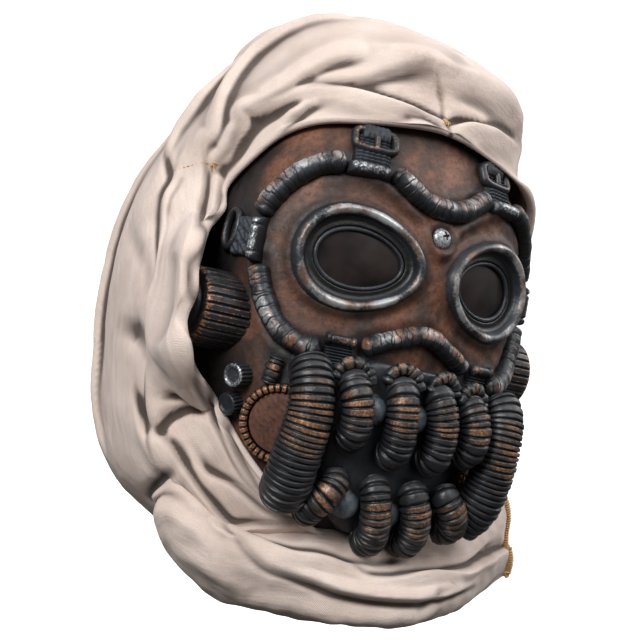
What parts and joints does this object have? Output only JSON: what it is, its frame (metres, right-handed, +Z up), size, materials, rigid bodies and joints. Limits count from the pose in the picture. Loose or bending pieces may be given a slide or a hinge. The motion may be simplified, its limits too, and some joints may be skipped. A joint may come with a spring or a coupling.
{
  "type": "gas mask style costume mask",
  "caption": "Over-the-head latex costume mask with goggles, ribbed hoses and cheek canisters, with a loose cloth hood sewn on round the face and wrapped under the chin.",
  "frame": {"origin": "top of the hollow for the head, where the inside of the crown rests on the wearer's head", "axes": "+Z up along the wearer's neck and head, -Y out of the face, +X to the wearer's left"},
  "size_m": [0.2623, 0.2491, 0.3382],
  "materials": {
    "brown_latex": "matt moulded latex, brown with dark shading",
    "dark_latex": "blue-black latex, dry-brushed silver",
    "copper_latex": "black latex, dry-brushed copper on the ribs",
    "silver_latex": "black latex, dry-brushed silver",
    "lens_pane": "smoke-tinted clear sheet",
    "cloth": "plain-weave cotton, light greige"
  },
  "bodies": {
    "root": {"mask_shell": "brown_latex", "lens_rim_right": "dark_latex", "lens_bead_right": "silver_latex", "lens_pane_right": "lens_pane", "lens_rim_left": "dark_latex", "lens_bead_left": "silver_latex", "lens_pane_left": "lens_pane", "brow_screw": "silver_latex", "top_clip_right": "silver_latex", "top_strap_right": "dark_latex", "top_buckle_right": "silver_latex", "temple_clip_right": "silver_latex", "temple_strap_right": "dark_latex", "temple_buckle_right": "silver_latex", "temple_tube_right": "dark_latex", "top_clip_left": "silver_latex", "top_strap_left": "dark_latex", "top_buckle_left": "silver_latex", "temple_clip_left": "silver_latex", "temple_strap_left": "dark_latex", "temple_buckle_left": "silver_latex", "temple_tube_left": "dark_latex", "brow_tube": "dark_latex", "nose_tube": "silver_latex", "cheek_tube_right": "dark_latex", "lower_strap_right": "dark_latex", "lower_roller_right": "copper_latex", "canister_right": "copper_latex", "large_knob_right": "silver_latex", "small_knob_right": "dark_latex", "cheek_tube_left": "dark_latex", "lower_strap_left": "dark_latex", "lower_roller_left": "copper_latex", "canister_left": "copper_latex", "large_knob_left": "silver_latex", "small_knob_left": "dark_latex", "side_hose_right": "copper_latex", "feeder_hose_right": "copper_latex", "port_ring_right": "copper_latex", "port_disc_right": "brown_latex", "side_hose_left": "copper_latex", "feeder_hose_left": "copper_latex", "port_ring_left": "copper_latex", "port_disc_left": "brown_latex", "mouth_plate": "dark_latex", "upper_hose_1": "copper_latex", "upper_hose_2": "copper_latex", "upper_hose_3": "copper_latex", "upper_hose_4": "copper_latex", "lower_hose_1": "copper_latex", "lower_hose_2": "copper_latex", "lower_hose_3": "copper_latex", "lower_hose_4": "copper_latex", "hose_arch_1": "copper_latex", "hose_arch_2": "copper_latex", "hose_arch_3": "copper_latex", "hose_arch_4": "copper_latex", "hood": "cloth", "neck_wrap": "cloth"}
  },
  "joints": []
}
